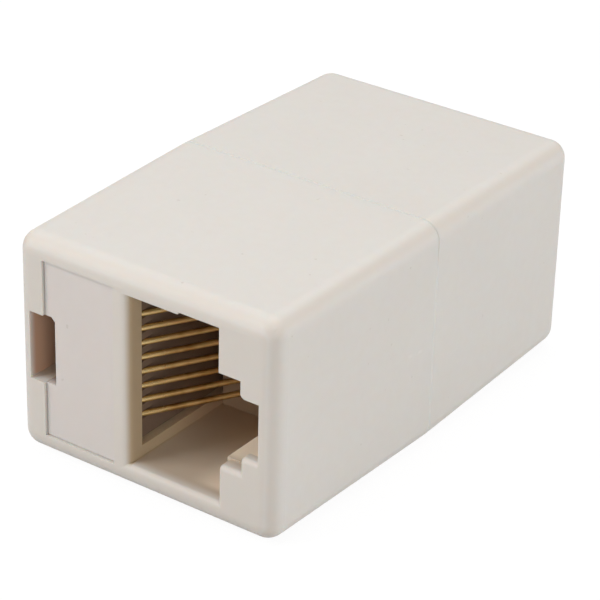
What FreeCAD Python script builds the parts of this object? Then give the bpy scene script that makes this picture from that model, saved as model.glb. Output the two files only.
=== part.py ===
import FreeCAD, Part
import math
import os

# Inline coupler for two 8-position modular plugs, millimetres.
#
# The case is one moulding used twice. The far half is the near half turned half a turn about the
# vertical axis, so the sockets look opposite ways and their latch slots lie on opposite sides. That
# is what lets eight straight-through conductors join pin 1 to pin 1.
#
# Frame: +Z up, X across the end faces, Y along the coupler. The origin is under the middle of the
# seam, at the height of the lowest edge, so the near end face lies at Y = -half_length.
# Everything is modelled for the near half. Depths named "deep" or "long" run inwards from its end.

V = FreeCAD.Vector

# ---- case ----
half_length = 16.7          # end face to seam
seam_width = 20.65          # the case is widest and tallest at the seam
seam_height = 15.75
side_draft = 1.0            # degrees, each side wall
top_draft = 0.85            # degrees, top and bottom walls
edge_r = 1.25               # long edges and the end's outline
seam_edge = 0.07            # tiny chamfer that makes the seam line

# ---- socket ----
latch_wall = 1.2            # side wall outside the latch slot, at the end face
socket_high = 6.97          # from the wall that the contacts lie against to the latch side
socket_wide = 12.0
socket_deep = 9.7
socket_rise = 0.08          # the socket sits a little above the middle of the case
relief_from = 3.87          # beyond this distance from the contact wall the ceiling is
relief_deep = 0.15          # this much higher
mouth_r = 0.35              # rounding of the mouth's lower edges; the upper ones are sharp
least_flat = 0.05           # end face kept between that rounding and the case's own
back_wall = 1.0

# ---- latch opening ----
step_wide = 6.4
step_high = 1.62
step_lip = 1.0
slot_wide = 4.08
slot_high = 1.36
slot_lip = 0.74
slot_corner_r = 0.35        # where the step meets the slot, above only
channel_wide = 6.18         # behind the lips, where the latch springs out

# ---- rib, rails and the bay beside the socket ----
rib_wide = 1.12
rib_deep = 1.4
rib_edge_r = 0.58
rail_high = 0.8             # wall left above and below the contacts
snap_wall = 1.06            # side wall outside the snap window, at the end face
bay_high = 12.5
pocket_deep = 1.11          # the snap window's bite into the side wall
pocket_wide = 4.8
pocket_long = 4.6

# ---- cored pockets behind the latch side ----
core_wall = 1.2
core_from_end = 1.6

# ---- seam joint ----
tongue_thick = 0.6
tongue_long = 0.8
lap_gap = 0.1

# ---- contact carrier ----
fit_gap = 0.06              # carrier to shell, each side
panel_setback = 0.2         # the visible end lies this far behind the end face
panel_thick = 1.3
window_in_panel = 0.82      # the snap window's bite into the panel
window_chamfer = 0.28
contact_wall_thick = 2.1
face_setback = 0.57         # carrier's contact face behind the socket wall
flange_thick = 1.1
web_thick = 1.25
seat_gap = 0.05
wire_wall_thick = 2.6
snap_thick = 0.9
snap_side_gap = 0.2         # hook to its pocket, each side
hook_reach = 0.93
hook_long = 1.35
hook_land = 0.3             # flat at the hook's widest, before it slopes away
hook_gap = 0.08
nose_gap = 0.1              # from the rib's back to the front of the contact wall

# ---- contact wires ----
wire_count = 8
wire_pitch = 1.016
wire_d = 0.4
wire_slope = 30.0           # degrees between a contact and the socket's axis
bend_r = 0.6                # at the nose
crossing_r = 2.0            # where the run turns across the coupler
wire_sides = 6              # flats round a wire, near enough to round at this size
feed_behind = 2.0           # from the contact wall back to the straight run
bend_gap = 0.15             # from the rib's back to the front of the bends
tip_gap = 0.5               # from the contact's free end to the socket's back wall
tunnel_gap = 0.03
groove_gap = 0.08

# ---- cutting ----
over = 1.0                  # how far a cutter runs past the surface it opens
overlap = 0.5               # how far joined solids run into each other

# ---- places that follow from the sizes ----
mid_z = seam_height / 2
end_y = -half_length
end_width = seam_width - 2 * half_length * math.tan(math.radians(side_draft))
end_height = seam_height - 2 * half_length * math.tan(math.radians(top_draft))
slot_x = end_width / 2 - latch_wall
step_x = slot_x - slot_high
socket_right = step_x - step_high
socket_left = socket_right - socket_high
socket_z = mid_z + socket_rise
floor_z = socket_z - socket_wide / 2
ceiling_z = socket_z + socket_wide / 2
bay_right = socket_left - rib_wide
pocket_x = snap_wall - end_width / 2
bay_left = pocket_x + pocket_deep
inner_end_y = end_y + socket_deep + back_wall
window_low = floor_z + rail_high
window_high = ceiling_z - rail_high
face_x = socket_left - face_setback
web_y = inner_end_y + seat_gap
wire_r = wire_d / 2
feed_x = feed_behind - socket_left
bend_y = end_y + rib_deep + bend_gap + wire_r + bend_r
tip_y = end_y + socket_deep - tip_gap
crossing_y = web_y + web_thick / 2
carrier_high = bay_high - 2 * fit_gap
flat_below = floor_z - (seam_height - end_height) / 2 - edge_r
lip_r = min(mouth_r, flat_below - least_flat) if flat_below > least_flat else mouth_r


def span(x0, x1, y0, y1, z0, z1):
    """A box between two limits on each axis."""
    return Part.makeBox(x1 - x0, y1 - y0, z1 - z0, V(x0, y0, z0))


def centred(x0, x1, y0, y1, high, z=mid_z):
    """A box whose height is centred on z."""
    return span(x0, x1, y0, y1, z - high / 2, z + high / 2)


def fused(solids):
    """One clean solid from several that overlap."""
    return solids[0].multiFuse(solids[1:]).removeSplitter()


def turned(shape):
    """The same shape at the other end of the coupler."""
    return shape.copy().rotate(V(0, 0, 0), V(0, 0, 1), 180)


def opposite(point):
    """The same point at the other end of the coupler."""
    return V(-point.x, -point.y, point.z)


def flat_face(points):
    """A plane face inside a loop of points."""
    return Part.Face(Part.makePolygon(points + points[:1]))


def plan_prism(points, high):
    """A solid with straight upright walls over an outline of (x, y) points, centred on the case."""
    return flat_face([V(x, y, mid_z - high / 2) for x, y in points]).extrude(V(0, 0, high))


def end_prism(points, y0, y1):
    """A solid that runs along the coupler over an outline of (x, z) points."""
    return flat_face([V(x, y0, z) for x, z in points]).extrude(V(0, y1 - y0, 0))


# ---- case half ----

def cross_corners(wide, high, y):
    """The corners of a rectangle across the coupler, centred on the case."""
    return [V(sx * wide / 2, y, mid_z + sz * high / 2) for sx, sz in ((1, 1), (-1, 1), (-1, -1), (1, -1))]


def lies_at(edge, y):
    """Whether an edge lies in the plane across the coupler at y."""
    box = edge.BoundBox
    return max(abs(box.YMin - y), abs(box.YMax - y)) < 1e-4


def runs_along(edge, point):
    """Whether an edge runs along the coupler from a point."""
    start = V(edge.BoundBox.XMin, edge.BoundBox.YMin, edge.BoundBox.ZMin)
    return start.distanceToPoint(point) < 1e-4 and edge.BoundBox.YLength > 1e-4


def case_block():
    """The drafted outside, with its long edges, end edge and seam edge finished."""
    end = cross_corners(end_width, end_height, end_y)
    seam = cross_corners(seam_width, seam_height, 0)
    sides = [flat_face([end[i], end[i - 3], seam[i - 3], seam[i]]) for i in range(4)]
    block = Part.Solid(Part.Shell([flat_face(end), flat_face(seam)] + sides))
    block = block.makeFillet(edge_r, [e for e in block.Edges if not lies_at(e, 0)])
    return block.makeChamfer(seam_edge, [e for e in block.Edges if lies_at(e, 0)])


def socket_space():
    """The plug's room: body, stepped latch opening and the channel behind the lips."""
    front, back = end_y - over, end_y + socket_deep
    inside = socket_right - overlap
    body = span(socket_left, socket_right, front, back, floor_z, ceiling_z)
    relief = span(socket_left + relief_from, socket_right, front, back, socket_z, ceiling_z + relief_deep)
    step = centred(inside, step_x, front, end_y + step_lip, step_wide)
    latch = fused([step, centred(inside, slot_x, front, end_y + step_lip, slot_wide)])
    upper_corner = V(step_x, front, mid_z + slot_wide / 2)
    latch = latch.makeFillet(slot_corner_r, [e for e in latch.Edges if runs_along(e, upper_corner)])
    channel = centred(inside, slot_x, end_y + slot_lip, back, channel_wide)
    return fused([body, relief, latch, channel])


def bay_space():
    """The room for the carrier: one arm beside the socket, and the full width behind it."""
    front = end_y - over
    arm = centred(bay_left, bay_right, front, over, bay_high)
    middle = centred(bay_left, -bay_left, inner_end_y, over, bay_high)
    contacts = span(bay_right - overlap, socket_left, end_y + rib_deep, 0, window_low, window_high)
    snap_pocket = centred(pocket_x, bay_left + overlap, front, end_y + pocket_long, pocket_wide)
    return fused([arm, middle, contacts, snap_pocket])


def cored_pockets():
    """Two pockets from the seam that keep the latch side to one wall thickness."""
    inner = channel_wide / 2 + core_wall
    outer = bay_high / 2
    left, start = socket_right + core_wall, end_y + core_from_end
    return [span(left, slot_x, start, over, mid_z + inner, mid_z + outer),
            span(left, slot_x, start, over, mid_z - outer, mid_z - inner)]


def lap_ring(extra, x0, x1, y0, y1):
    """A band round the inside of the seam, limited to a stretch of X."""
    outer = centred(x0, x1, y0, y1, bay_high + 2 * extra)
    outer = outer.common(centred(bay_left - extra, -bay_left + extra, y0, y1, seam_height))
    return outer.cut(centred(bay_left, -bay_left, y0 - over, y1 + over, bay_high))


def case_half():
    """One shell: the tongue is on the bay's side, the rebate on the latch side."""
    side = seam_width / 2
    tongue = lap_ring(tongue_thick, -side, -lap_gap, -tongue_long, tongue_long)
    rebate = lap_ring(tongue_thick + lap_gap, 0, side, -tongue_long - lap_gap, over)
    shell = case_block().fuse(tongue).cut([bay_space(), socket_space(), rebate] + cored_pockets())
    shell = shell.removeSplitter()

    def mouth(x0, x1, z0, z1):
        """The end face's edges round an opening, inside a stretch of X and of Z."""
        boxes = [(e, e.BoundBox) for e in shell.Edges if lies_at(e, end_y)]
        return [e for e, b in boxes if b.XMin > x0 - 1e-4 and b.XMax < x1 + 1e-4
                and b.ZMin > z0 - 1e-4 and b.ZMax < z1 + 1e-4]

    shell = shell.makeFillet(rib_edge_r, mouth(socket_left, socket_left, floor_z, ceiling_z))
    lower = mouth(socket_left, slot_x, floor_z, mid_z - slot_wide / 2)
    corners = [V(socket_right, end_y, mid_z - step_wide / 2), V(step_x, end_y, mid_z - slot_wide / 2)]
    corner_edges = [e for e in shell.Edges for c in corners if runs_along(e, c)]
    return shell.makeFillet(lip_r, lower + corner_edges)


# ---- contact wires ----

def line(start, end):
    """The straight edge between two points."""
    return Part.LineSegment(start, end).toShape()


def corner_arc(before, corner, after, r):
    """The arc that rounds a corner between two straight runs, and where it starts and ends."""
    u = (before - corner).normalize()
    w = (after - corner).normalize()
    half = u.getAngle(w) / 2
    start = corner + u * (r / math.tan(half))
    end = corner + w * (r / math.tan(half))
    centre = corner + (u + w).normalize() * (r / math.sin(half))
    middle = centre + (corner - centre).normalize() * r
    return Part.Arc(start, middle, end).toShape(), start, end


def contact_points(z):
    """On a wire at height z: the contact's tip and root, and the front and the end of the nose bend."""
    slope = math.radians(wire_slope)
    centre = V(bend_r - feed_x, bend_y, z)
    root = centre + V(math.cos(slope), -math.sin(slope), 0) * bend_r
    tip = V(root.x + (tip_y - root.y) * math.tan(slope), tip_y, z)
    return tip, root, centre - V(0, bend_r, 0), centre - V(bend_r, 0, 0)


def wire_edges(z):
    """Centre line of a whole wire, from the near contact's tip to the far one's."""
    tip, root, front, run = contact_points(z)
    corner = V(-feed_x, crossing_y, z)
    crossing, start, end = corner_arc(run, corner, opposite(corner), crossing_r)
    near = [line(tip, root), Part.Arc(root, front, run).toShape(), line(run, start), crossing]
    return near + [line(end, opposite(end))] + [turned(edge) for edge in reversed(near)]


def whole_wire(z, r):
    """A many-sided bar of radius r across its flats, both contacts and the run between them."""
    tip, root = contact_points(z)[:2]
    along = (root - tip).normalize()
    side, up = V(-along.y, along.x, 0), V(0, 0, 1)
    corner_r = r / math.cos(math.pi / wire_sides)
    angles = [math.pi * (2 * i + 1) / wire_sides for i in range(wire_sides)]
    corners = [tip + side * (corner_r * math.cos(a)) + up * (corner_r * math.sin(a)) for a in angles]
    section = Part.makePolygon(corners + corners[:1])
    return Part.Wire(wire_edges(z)).makePipeShell([section], True, False)


def wire_heights():
    """The eight levels, pin 1 lowest."""
    return [socket_z + (i - (wire_count - 1) / 2) * wire_pitch for i in range(wire_count)]


# ---- contact carrier ----

def snap(left, root_y):
    """The springy hook that locks in the shell's pocket, rooted in the cross web."""
    lock_y = end_y + pocket_long - hook_gap
    front = lock_y - hook_long
    hook_x = left - hook_reach
    return plan_prism([(left, root_y), (left, lock_y), (hook_x, lock_y), (hook_x, lock_y - hook_land),
                       (left, front), (left + snap_thick, front), (left + snap_thick, root_y)],
                      pocket_wide - 2 * snap_side_gap)


def carrier_arm():
    """The near half of the carrier: end panel, contact wall, flanges, cross web and snap."""
    left, right = bay_left + fit_gap, bay_right - fit_gap
    front = end_y + panel_setback
    web_back = web_y + web_thick
    block_high = window_high - window_low - 2 * fit_gap

    panel = centred(left, right, front, front + panel_thick, carrier_high)
    wall = centred(right - contact_wall_thick, right, front, web_back, carrier_high)
    block = centred(right - overlap, face_x, end_y + rib_deep + nose_gap, web_back, block_high,
                    (window_low + window_high) / 2)
    web = centred(left, -left, web_y, web_back, carrier_high)
    flange_z = (carrier_high - flange_thick) / 2
    flanges = [centred(left, right, front, web_back, flange_thick, mid_z + s * flange_z) for s in (-1, 1)]
    arm = fused([panel, wall, block, web, snap(left, web_back)] + flanges)

    notch_x = bay_left + window_in_panel
    low, top = mid_z - pocket_wide / 2, mid_z + pocket_wide / 2
    notch = end_prism([(left - over, low), (notch_x, low), (notch_x, top - window_chamfer),
                       (notch_x - window_chamfer, top), (left - over, top)],
                      front - over, front + panel_thick + over)
    return arm.cut(notch)


def wire_wall():
    """The slanting wall that carries the wires from one side of the coupler to the other."""
    slant = math.atan2(feed_x, -crossing_y)
    half = wire_wall_thick / 2 / math.cos(slant)
    near_x = web_y * math.tan(slant)
    return plan_prism([(near_x - half, web_y), (near_x + half, web_y),
                       (-near_x + half, -web_y), (-near_x - half, -web_y)], carrier_high)


def nose_groove(z):
    """The slot at the nose that one bend and the root of its contact lie in."""
    tip, root, front, run = contact_points(z)
    half = wire_r + groove_gap
    along = (tip - root).normalize()
    out = root + along * ((socket_left - root.x) / along.x)
    side = V(along.y, -along.x, 0) * half
    up = V(0, 0, half)
    section = Part.makePolygon([out + side + up, out - side + up, out - side - up, out + side - up,
                                out + side + up])
    behind = run + V(0, overlap, 0)
    route = Part.Wire([line(out, root), Part.Arc(root, front, run).toShape(), line(run, behind)])
    band = route.makePipeShell([section], True, False)
    return band.fuse(centred(run.x - half, face_x + over, end_y + rib_deep, bend_y, 2 * half, z))


def carrier():
    """The whole carrier: two equal arms, the wire wall between them, and its grooves and tunnels."""
    arm = carrier_arm()
    body = fused([arm, turned(arm), wire_wall()])
    cuts = []
    for z in wire_heights():
        groove = nose_groove(z)
        cuts += [whole_wire(z, wire_r + tunnel_gap), groove, turned(groove)]
    return body.cut(cuts).removeSplitter()


def pieces():
    """Every piece by its node name."""
    near = case_half()
    found = {"front_shell": near, "rear_shell": turned(near), "contact_carrier": carrier()}
    for number, z in enumerate(wire_heights(), start=1):
        found["contact_wire_%d" % number] = whole_wire(z, wire_r)
    return found


os.makedirs("parts", exist_ok=True)
for name, shape in pieces().items():
    (solid,) = shape.Solids
    solid.exportStep("parts/%s.step" % name)
    print(name, "valid" if solid.isValid() else "NOT VALID", round(solid.Volume, 3), "mm3")
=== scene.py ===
import math

import bpy
import numpy as np
from mathutils import Matrix, Vector


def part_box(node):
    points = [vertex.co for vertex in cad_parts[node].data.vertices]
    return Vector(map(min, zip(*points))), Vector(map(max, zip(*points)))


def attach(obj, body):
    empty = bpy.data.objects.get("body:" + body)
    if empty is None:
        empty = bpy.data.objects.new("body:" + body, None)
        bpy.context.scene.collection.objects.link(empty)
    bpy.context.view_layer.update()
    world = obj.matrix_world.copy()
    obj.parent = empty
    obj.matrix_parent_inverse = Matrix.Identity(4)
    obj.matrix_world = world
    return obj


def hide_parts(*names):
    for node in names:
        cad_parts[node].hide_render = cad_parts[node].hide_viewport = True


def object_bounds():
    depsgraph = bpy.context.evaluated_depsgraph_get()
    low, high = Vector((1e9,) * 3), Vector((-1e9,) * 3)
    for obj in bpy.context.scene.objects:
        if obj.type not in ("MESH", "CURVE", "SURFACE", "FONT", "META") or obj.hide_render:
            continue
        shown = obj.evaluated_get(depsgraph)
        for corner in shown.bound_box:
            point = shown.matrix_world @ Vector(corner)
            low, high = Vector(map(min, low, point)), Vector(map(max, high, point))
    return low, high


# Looks of an inline coupler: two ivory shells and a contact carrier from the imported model, eight gold
# spring wires drawn round and smooth, a pale floor and soft studio light. Lengths are in metres.

MM = 0.001

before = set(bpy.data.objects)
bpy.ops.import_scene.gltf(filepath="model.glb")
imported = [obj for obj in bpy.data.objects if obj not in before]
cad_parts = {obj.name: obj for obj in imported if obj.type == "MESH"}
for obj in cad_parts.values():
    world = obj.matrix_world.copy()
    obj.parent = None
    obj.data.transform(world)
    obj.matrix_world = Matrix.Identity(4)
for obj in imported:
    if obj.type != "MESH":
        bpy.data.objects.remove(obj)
cad_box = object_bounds()

# ---- shader maths ----


class Value:
    """A shader socket in an expression: each operator adds one Math node."""

    def __init__(self, paint, socket):
        self.paint = paint
        self.socket = socket

    def math(self, operation, *others):
        return self.paint.node("ShaderNodeMath", {"operation": operation}, dict(enumerate((self,) + others)))

    def __add__(self, other):
        return self.math("ADD", other)

    def __sub__(self, other):
        return self.math("SUBTRACT", other)

    def __rsub__(self, other):
        return self.paint.node("ShaderNodeMath", {"operation": "SUBTRACT"}, {0: other, 1: self})

    def __mul__(self, other):
        return self.math("MULTIPLY", other)

    def __abs__(self):
        return self.math("ABSOLUTE")

    __radd__ = __add__
    __rmul__ = __mul__

    def largest(self, other):
        return self.math("MAXIMUM", other)

    def smallest(self, other):
        return self.math("MINIMUM", other)

    def band(self, low, high):
        """0 at low and 1 at high, smooth between them; falling where low is the larger."""
        values = {"Value": self, "From Min": low, "From Max": high}
        return self.paint.node("ShaderNodeMapRange", {"interpolation_type": "SMOOTHSTEP"}, values)


class Paint:
    """A material with one Principled shader, and the two calls that fill it."""

    def __init__(self, name, **constants):
        self.material = bpy.data.materials.new(name)
        self.material.use_nodes = True
        self.tree = self.material.node_tree
        self.shader = self.tree.nodes["Principled BSDF"]
        for socket, value in constants.items():
            self.shader.inputs[socket.replace("_", " ")].default_value = value
        self.place = self.node("ShaderNodeTexCoord", output="Object")

    def node(self, kind, settings=None, values=None, output=0):
        """Adds a node: its settings first, then the values or links of its sockets."""
        made = self.tree.nodes.new(kind)
        for name, value in (settings or {}).items():
            setattr(made, name, value)
        for socket, value in (values or {}).items():
            if isinstance(value, Value):
                self.tree.links.new(value.socket, made.inputs[socket])
            else:
                made.inputs[socket].default_value = value
        return Value(self, made.outputs[output])

    def noise(self, scale, detail=2.0, rough=0.5, at=None):
        """Cloudy noise from 0 to 1, with features about 1 / scale metres across."""
        values = {"Vector": at or self.place, "Scale": scale, "Detail": detail, "Roughness": rough}
        return self.node("ShaderNodeTexNoise", None, values, "Fac")

    def axes(self, vector):
        """The X, Y and Z of a vector."""
        split = self.node("ShaderNodeSeparateXYZ", None, {0: vector})
        outputs = split.socket.node.outputs
        return [Value(self, outputs[i]) for i in range(3)]

    def mix(self, factor, first, second):
        """first where the factor is 0 and second where it is 1, for colours: sockets 6 and 7, output 2."""
        return self.node("ShaderNodeMix", {"data_type": "RGBA"}, {0: factor, 6: first, 7: second}, 2)

    def bump(self, strength, distance, height):
        """The surface's normal, turned by a height that varies."""
        values = {"Strength": strength, "Distance": distance, "Height": height}
        return self.node("ShaderNodeBump", None, values, "Normal")

    def finish(self, **varying):
        """Links the sockets whose values vary over the surface, and gives the material."""
        for socket, value in varying.items():
            self.tree.links.new(value.socket, self.shader.inputs[socket.replace("_", " ")])
        return self.material


def linear(red, green, blue):
    """A colour given as display values from 0 to 255."""
    channels = [c / 255 for c in (red, green, blue)]
    return tuple(c / 12.92 if c <= 0.04045 else ((c + 0.055) / 1.055) ** 2.4 for c in channels) + (1.0,)


# ---- finishes ----

# Tones of each moulding: its own colour outside (body); the others are painted shade and light, standing in
# for how light falls in its hollows: painted shade in the hollows, darker painted shade far into the socket,
# in the pocket at the snap window and on the rib's inner side, and a painted lighter tone on the latch side
# of the hollows, which takes more light.
SHELL = {"body": linear(222, 218, 212), "inside": linear(196, 179, 160), "deep": linear(186, 158, 130),
         "snap": linear(204, 164, 136), "rib": linear(192, 172, 142), "latch": linear(238, 222, 202)}
CARRIER = {"body": linear(221, 213, 208), "inside": linear(122, 103, 89), "deep": linear(112, 88, 68),
           "snap": linear(134, 90, 67), "rib": linear(122, 103, 89), "latch": linear(150, 130, 110)}
# Painted warm tint for bends and end faces, standing in for the light that glows through the plastic there;
# the cloudy mottle, the plastic's own, also drifts towards this tone.
EDGE_GLOW_AND_CLOUD = linear(215, 205, 194)
SPECK = linear(176, 164, 146)
SEAM_ABOVE = linear(215, 211, 203)
# Painted highlight along the seam's edge, low on the sides.
SEAM_HIGHLIGHT_LOW = linear(235, 231, 225)
RUB = linear(238, 233, 229)

# Each pair below is where a change of tone starts and where it is complete.
# Distance in from the nearer end face:
END_FACE = (0.15 * MM, 0.02 * MM)
HOLLOW_STARTS = (0.15 * MM, 1.1 * MM)
LATCH_STARTS = (0.8 * MM, 1.6 * MM)
RIB_STARTS = (0.02 * MM, 0.4 * MM)
BAY_STARTS = (0.02 * MM, 0.6 * MM)
DEEP_STARTS = (3.0 * MM, 9.0 * MM)
# Distance under the nearest outer side:
UNDER_SKIN = (0.65 * MM, 0.95 * MM)
UNDER_BAY = (1.25 * MM, 1.33 * MM)
UNDER_DEEP = (1.3 * MM, 1.8 * MM)
UNDER_RIB = (1.5 * MM, 1.8 * MM)
# Distance across, from the middle of the coupler to the side where the contacts root:
RIB_LOW, RIB_HIGH = (0.9 * MM, 1.1 * MM), (2.30 * MM, 2.25 * MM)
BAY_ACROSS = (2.25 * MM, 2.30 * MM)
SNAP_ACROSS = (6.5 * MM, 7.5 * MM)
LATCH_ACROSS = (-2.5 * MM, -5.0 * MM)
# Height, and distance above or below the middle of the snap window:
SEAM_TOP = (15.2 * MM, 15.6 * MM)
SEAM_FOOT = (14.5 * MM, 12.0 * MM)
SNAP_MIDDLE = 7.875 * MM
SNAP_HALF = (2.39 * MM, 2.30 * MM)
# Distance from the seam, and the rub mark beside it: its height at the seam, fall, width, ends and side.
SEAM_LINE = (0.12 * MM, 0.05 * MM)
RUB_HEIGHT, RUB_FALL = 7.12 * MM, 0.145
RUB_WIDTH = (0.18 * MM, 0.04 * MM)
RUB_ENDS = (-3.0 * MM, -2.5 * MM), (-0.15 * MM, -0.5 * MM)
RUB_SIDE = (9.9 * MM, 10.1 * MM)


def depths(x, y, z):
    """How far a point lies in from the nearer end, and under the nearest outer side."""
    low, high = cad_box
    middle, half = (high[2] + low[2]) / 2, (high[2] - low[2]) / 2
    return high[1] - abs(y), (high[0] - abs(x)).smallest(half - abs(z - middle))


def outer_tone(paint, body, place, facing, end, cloud, mottle):
    """The moulding's outside: a painted warm tint on bends and end faces, standing in for light glowing
    through the plastic there; cloudy, specked, with the seam and a rub mark.

    The seam shows a little dark on top, and a little pale down the sides: a painted highlight on its edge.
    """
    x, y, z = place
    # Painted warm tint on bends and end faces, for the light that glows through the plastic.
    bend_glow = (1 - facing[0].largest(facing[1]).largest(facing[2])).band(0.01, 0.25)
    tone = paint.mix(bend_glow.largest(end.band(*END_FACE)) * 0.5, body, EDGE_GLOW_AND_CLOUD)
    tone = paint.mix((cloud - 0.5) * 0.35 + (mottle - 0.5) * 0.25 + 0.15, tone, EDGE_GLOW_AND_CLOUD)
    specks = paint.noise(2400.0, 0.0).band(0.86, 0.90)
    tone = paint.mix(specks * 0.25, tone, SPECK)
    seam = abs(y).band(*SEAM_LINE)
    tone = paint.mix(seam * z.band(*SEAM_TOP), tone, SEAM_ABOVE)
    # Painted highlight on the seam's edge, lower down the sides.
    tone = paint.mix(seam * z.band(*SEAM_FOOT), tone, SEAM_HIGHLIGHT_LOW)
    rub = abs(z + y * RUB_FALL - RUB_HEIGHT).band(*RUB_WIDTH) * x.band(*RUB_SIDE)
    for stop in RUB_ENDS:
        rub = rub * y.band(*stop)
    return paint.mix(rub * mottle.band(0.35, 0.60) * 0.45, tone, RUB)


def paint_hollow_shade_and_light(paint, outer, tones, place, facing, depth, bay_wall):
    """Painted shade in the hollows, standing in for the shade that falls there: browner over the first
    millimetre and darker beyond it, with its own painted shade on the rib's inner side and in the pocket at
    the snap window (but for its floor and roof), and a painted lighter tone on the latch side, which takes
    more light.

    bay_wall is for the moulding whose wall stands beside the snap window: the painted shade there starts
    from the end on.
    """
    x, y, z = place
    end, side = depth
    across = x * y.math("SIGN")
    latch = across.band(*LATCH_ACROSS)
    on_rib = across.band(*RIB_LOW) * across.band(*RIB_HIGH) * side.band(*UNDER_RIB)
    # Painted light: the latch side's walls get a lighter tone for the light that reaches them; painted shade
    # on the rib's inner side and in the snap window's pocket.
    wall = paint.mix(latch * end.band(*LATCH_STARTS), tones["inside"], tones["latch"])
    wall = paint.mix(on_rib, wall, tones["rib"])
    wall = paint.mix(across.band(*SNAP_ACROSS) * (1 - facing[2]), wall, tones["snap"])
    starts = end.band(*HOLLOW_STARTS).largest(on_rib * end.band(*RIB_STARTS))
    if bay_wall:
        bay = across.band(*BAY_ACROSS) * side.band(*UNDER_BAY) * abs(z - SNAP_MIDDLE).band(*SNAP_HALF)
        starts = starts.largest(bay * end.band(*BAY_STARTS))
    # Painted shade in the hollows from the first millimetre in, then darker painted shade far into the
    # socket.
    tone = paint.mix(side.band(*UNDER_SKIN) * starts, outer, wall)
    return paint.mix(side.band(*UNDER_DEEP) * end.band(*DEEP_STARTS) * (1 - latch), tone, tones["deep"])


def ivory_plastic(name, tones, bay_wall=False):
    """Moulded plastic with a fine satin grain: outer_tone outside, and paint_hollow_shade_and_light in its
    hollows; both paint some light and shade into the colour.
    """
    paint = Paint(name, IOR=1.5, Specular_IOR_Level=0.4, Subsurface_Weight=0.4,
                  Subsurface_Radius=(1.0, 0.6, 0.4), Subsurface_Scale=0.7 * MM)
    facing = [abs(n) for n in paint.axes(paint.node("ShaderNodeTexCoord", output="Normal"))]
    place = paint.axes(paint.place)
    depth = depths(*place)
    cloud = paint.noise(160.0, 3.0)
    mottle = paint.noise(1400.0, 2.0)
    tone = outer_tone(paint, tones["body"], place, facing, depth[0], cloud, mottle)
    tone = paint_hollow_shade_and_light(paint, tone, tones, place, facing, depth, bay_wall)
    grain = paint.noise(9000.0, 2.0)
    flow = paint.noise(260.0, 1.0)
    bump = paint.bump(0.25, 0.03 * MM, grain * 0.5 + mottle * 0.35 + flow * 0.6)
    return paint.finish(Base_Color=tone, Roughness=0.44 + mottle * 0.10 + cloud * 0.06, Normal=bump)


# Painted highlight: over this stretch each wire's nose is given a pale colour, standing in for the bright
# reflection at the bend.
NOSE_HIGHLIGHT = (12.4 * MM, 14.0 * MM)   # along the coupler, where a wire turns bright
LINES_ALONG, LINES_ROUND = 150.0, 9.0


def contact_gold(name):
    """Gold-plated spring wire: fine lines drawn along it, changes of tone, and a painted highlight at the
    nose.
    """
    paint = Paint(name, Metallic=1.0)
    u, v = paint.axes(paint.node("ShaderNodeUVMap", {"uv_map": "along"}))[:2]
    stretched = paint.node("ShaderNodeCombineXYZ", None, {0: u * LINES_ALONG, 1: v * LINES_ROUND})
    lines = paint.noise(1.0, 3.0, 0.6, at=stretched)
    patches = paint.noise(900.0, 2.0)
    tone = paint.mix(patches.band(0.35, 0.7), linear(214, 184, 130), linear(182, 148, 94))
    tone = paint.mix(lines.band(0.55, 0.8) * 0.4, tone, linear(235, 205, 150))
    nose = abs(paint.axes(paint.place)[1]).band(*NOSE_HIGHLIGHT)
    # Painted highlight at the nose: the colour is turned pale there.
    tone = paint.mix(nose * 0.8, tone, linear(250, 228, 170))
    bump = paint.bump(0.3, 0.01 * MM, lines)
    return paint.finish(Base_Color=tone, Roughness=0.26 + lines * 0.16 - nose * 0.14, Normal=bump)


# ---- contact wires ----

BEND_R = 0.6 * MM          # centre line of the turn round the nose
SLOPE = math.radians(30)   # between a contact and the coupler's length
CROSSING_R = 2.0 * MM
TIP_SHORT = 9.2 * MM       # a contact's free end, in from the end face
CROSSING_Y = 5.325 * MM    # where the straight run turns to cross the coupler
ROUND_FOR_SIX = 1.05 * math.cos(math.pi / 6)   # radius against a six-sided bar's half height, for one area
CONTACT_POINTS, BEND_POINTS, RUN_POINTS, CROSSING_POINTS = 30, 40, 12, 12
AROUND = 28
RIM = 0.35                 # radius that rounds off a wire's end, as a share of the wire's own
RIM_TURN = np.radians([0, 25, 50, 72])


def arc_points(centre, radius, start, end, count):
    """Points on a circle in the XY plane, from one angle to another."""
    angle = np.linspace(start, end, count)
    return np.stack([centre[0] + radius * np.cos(angle), centre[1] + radius * np.sin(angle)], 1)


def wire_route(low, high):
    """Centre line of a wire in plan: half of it, then the same half turned round and reversed.

    The half is a straight contact, a turn of 150 degrees at constant radius, a straight run and the start
    of the turn across the coupler. It is fitted to the box of the wire's own node.
    """
    r = ROUND_FOR_SIX * (high.z - low.z) / 2
    run_x = -(high.x - r)
    centre = (run_x + BEND_R, low.y + r + BEND_R)
    bend = arc_points(centre, BEND_R, -SLOPE, -math.pi, BEND_POINTS)
    root = bend[0]
    tip_y = TIP_SHORT - cad_box[1][1]
    tip = np.array([root[0] + (tip_y - root[1]) * math.tan(SLOPE), tip_y])
    contact = np.linspace(tip, root, CONTACT_POINTS)[:-1]
    slant = math.atan2(-run_x, CROSSING_Y)
    start_y = -CROSSING_Y - CROSSING_R * math.tan(slant / 2)
    run = np.linspace(bend[-1], [run_x, start_y], RUN_POINTS)[1:]
    turn_centre = (run_x + CROSSING_R, start_y)
    crossing = arc_points(turn_centre, CROSSING_R, math.pi, math.pi - slant, CROSSING_POINTS)[1:]
    half = np.concatenate([contact, bend, run, crossing])
    return np.concatenate([half, -half[::-1]]), r


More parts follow.
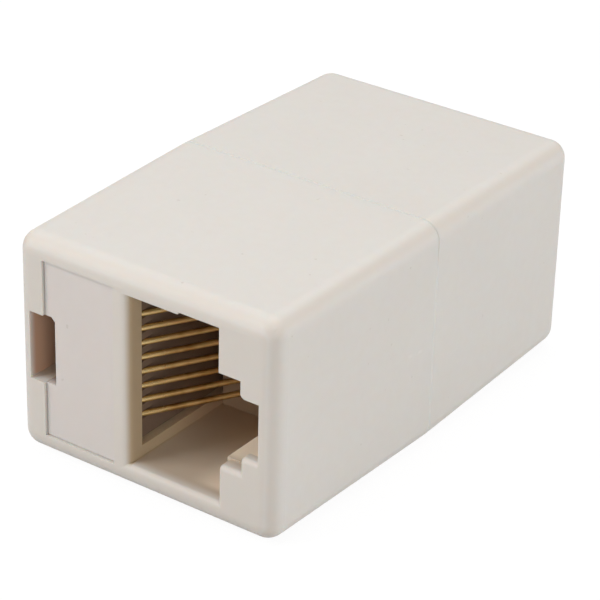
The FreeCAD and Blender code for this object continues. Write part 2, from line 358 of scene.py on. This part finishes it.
def swept_wire(name, low, high):
    """A round bar along wire_route: ring i is centred on route point i, in the plane across the route there,
    at angle t: point = centre + size * (side * cos t + up * sin t). The size is the bar's radius r, but for
    the four rings at each end, which round off its rim at turns a: size = r * (1 - RIM * (1 - cos a)), set
    RIM * r * (1 - sin a) in from the end.
    """
    route, r = wire_route(low, high)
    step = np.gradient(route, axis=0)
    step /= np.linalg.norm(step, axis=1, keepdims=True)
    turn = RIM_TURN[::-1]
    shrink = 1 - RIM * (1 - np.cos(turn))
    inset = RIM * r * (1 - np.sin(turn))
    first = route[0] + np.outer(inset, step[0])
    last = route[-1] - np.outer(inset[::-1], step[-1])
    centres = np.concatenate([first, route[2:-2], last])
    count = len(turn)
    along = np.concatenate([np.repeat(step[:1], count, 0), step[2:-2], np.repeat(step[-1:], count, 0)])
    size = np.concatenate([shrink, np.ones(len(route) - 4), shrink[::-1]]) * r
    side = np.stack([-along[:, 1], along[:, 0], np.zeros(len(along))], 1)
    angle = np.linspace(0, 2 * np.pi, AROUND, endpoint=False)
    up = np.array([0, 0, 1])
    ring = side[:, None] * np.cos(angle)[None, :, None] + up * np.sin(angle)[None, :, None]
    middle = np.full((len(centres), 1), (high.z + low.z) / 2)
    return tube_mesh(name, np.concatenate([centres, middle], 1)[:, None] + ring * size[:, None, None])


def tube_mesh(name, points):
    """A closed tube from rings of points, its ends capped, with a UV map: millimetres along, turns round."""
    rings, around = points.shape[:2]
    i, j = np.meshgrid(np.arange(rings - 1), np.arange(around), indexing="ij")
    k = (j + 1) % around
    quads = np.stack([i * around + j, i * around + k, (i + 1) * around + k, (i + 1) * around + j], -1)
    quads = quads.reshape(-1, 4)[:, ::-1]
    caps = [list(range(around)), list(range(rings * around - 1, (rings - 1) * around - 1, -1))]
    mesh = bpy.data.meshes.new(name)
    mesh.from_pydata(points.reshape(-1, 3).tolist(), [], quads.tolist() + caps)
    length = np.concatenate([[0], np.cumsum(np.linalg.norm(np.diff(points.mean(1), axis=0), axis=1))])
    ring_of, spot = np.divmod(np.arange(rings * around), around)
    uv = np.stack([length[ring_of] / MM, spot / around], 1)
    corner = np.zeros(len(mesh.loops), np.int32)
    mesh.loops.foreach_get("vertex_index", corner)
    mesh.uv_layers.new(name="along").data.foreach_set("uv", uv[corner].ravel())
    mesh.shade_smooth()
    piece = bpy.data.objects.new(name, mesh)
    bpy.context.scene.collection.objects.link(piece)
    return piece


def dress():
    """Puts every finish on, and stands a smooth wire in for each node of plain flats."""
    shell = ivory_plastic("ivory_shell", SHELL, bay_wall=True)
    inner = ivory_plastic("ivory_carrier", CARRIER)
    gold = contact_gold("gold_wire")
    for name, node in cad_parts.items():
        if name.startswith("contact_wire"):
            wire = swept_wire(name + "_round", *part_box(name))
            wire.data.materials.append(gold)
            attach(wire, "root")
            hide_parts(name)
            continue
        finish = inner if name == "contact_carrier" else shell
        for slot in node.material_slots:
            slot.material = finish


# ---- studio ----

# Each lamp: where it stands from the object's middle, its size, and how brightly it lights white paper.
LAMPS = {"left_soft": ((-0.55, -0.62, 0.60), 0.16, 0.52),
         "right_soft": ((0.85, 0.45, 0.14), 0.20, 0.445),
         "top_soft": ((-0.1, 0.3, 1.0), 0.25, 0.46),
         "front_soft": ((0.65, -0.70, 0.35), 0.20, 0.295)}
LAMP_DISTANCE = 0.32
WORLD_LEVEL = 0.25
FLOOR_HALF = 1.0
FLOOR_GLOW = 1.16    # what the camera sees of the floor's own white
FLOOR_SHARE = 0.8    # and how much of it, over the lit floor that keeps the shadow
AIM = Vector((0.13, -0.39, -0.68)) * MM   # from the object's middle
AZIMUTH, ELEVATION, ROLL = -0.612, 0.492, -0.028
CAMERA_DISTANCE = 168.6 * MM
LENS, SENSOR = 154.4, 36


def look_from(aim, distance):
    """A camera that looks at a point from a distance, turned about the line of sight by the roll."""
    ahead = Vector((math.sin(AZIMUTH) * math.cos(ELEVATION), math.cos(AZIMUTH) * math.cos(ELEVATION),
                    -math.sin(ELEVATION)))
    right = Vector((math.cos(AZIMUTH), -math.sin(AZIMUTH), 0))
    across = right * math.cos(ROLL) + ahead.cross(right) * math.sin(ROLL)
    data = bpy.data.cameras.new("camera")
    data.lens = LENS
    data.sensor_width = SENSOR
    data.clip_start = 0.01
    data.clip_end = 10
    camera = bpy.data.objects.new("camera", data)
    turn = Matrix((across, ahead.cross(across) * -1, ahead * -1)).transposed()
    camera.matrix_world = Matrix.Translation(aim - ahead * distance) @ turn.to_4x4()
    bpy.context.scene.collection.objects.link(camera)
    bpy.context.scene.camera = camera


def area_light(name, aim, offset, size, level):
    """A softbox that lights white paper facing it, at the aim, to the given share of full white."""
    data = bpy.data.lights.new(name, "AREA")
    data.size = size
    data.energy = level * math.pi ** 2 * offset.length_squared
    lamp = bpy.data.objects.new(name, data)
    lamp.location = aim + offset
    lamp.rotation_euler = offset.to_track_quat("Z", "Y").to_euler()
    bpy.context.scene.collection.objects.link(lamp)


def floor_plane(low):
    """A pale floor: seen by the camera it is mostly its own white, and keeps the object's shadow."""
    mesh = bpy.data.meshes.new("floor")
    corners = [(-1, -1), (1, -1), (1, 1), (-1, 1)]
    mesh.from_pydata([(x * FLOOR_HALF, y * FLOOR_HALF, low) for x, y in corners], [], [(0, 1, 2, 3)])
    floor = bpy.data.objects.new("floor", mesh)
    bpy.context.scene.collection.objects.link(floor)
    paint = Paint("floor_white", Base_Color=(0.5, 0.5, 0.5, 1), Roughness=0.9, Specular_IOR_Level=0.1)
    glow = paint.node("ShaderNodeEmission", None, {"Strength": FLOOR_GLOW}, "Emission")
    seen = paint.node("ShaderNodeLightPath", output="Is Camera Ray")
    seen = seen + paint.node("ShaderNodeLightPath", output="Is Glossy Ray")
    seen = seen + paint.node("ShaderNodeLightPath", output="Is Transmission Ray")
    body = Value(paint, paint.shader.outputs["BSDF"])
    mixed = paint.node("ShaderNodeMixShader", None, {0: seen * FLOOR_SHARE, 1: body, 2: glow})
    output = paint.tree.nodes["Material Output"]
    paint.tree.links.new(mixed.socket, output.inputs["Surface"])
    mesh.materials.append(paint.material)


def studio():
    """The world, the floor, the lamps and the camera."""
    scene = bpy.context.scene
    scene.view_settings.view_transform = "Standard"
    world = bpy.data.worlds.new("studio")
    world.use_nodes = True
    scene.world = world
    background = world.node_tree.nodes["Background"]
    background.inputs["Color"].default_value = (1, 1, 1, 1)
    background.inputs["Strength"].default_value = WORLD_LEVEL
    floor_plane(cad_box[0][2])
    middle = (Vector(cad_box[0]) + Vector(cad_box[1])) / 2
    for name, (direction, size, level) in LAMPS.items():
        area_light(name, middle, Vector(direction).normalized() * LAMP_DISTANCE, size, level)
    look_from(middle + AIM, CAMERA_DISTANCE)


dress()
studio()
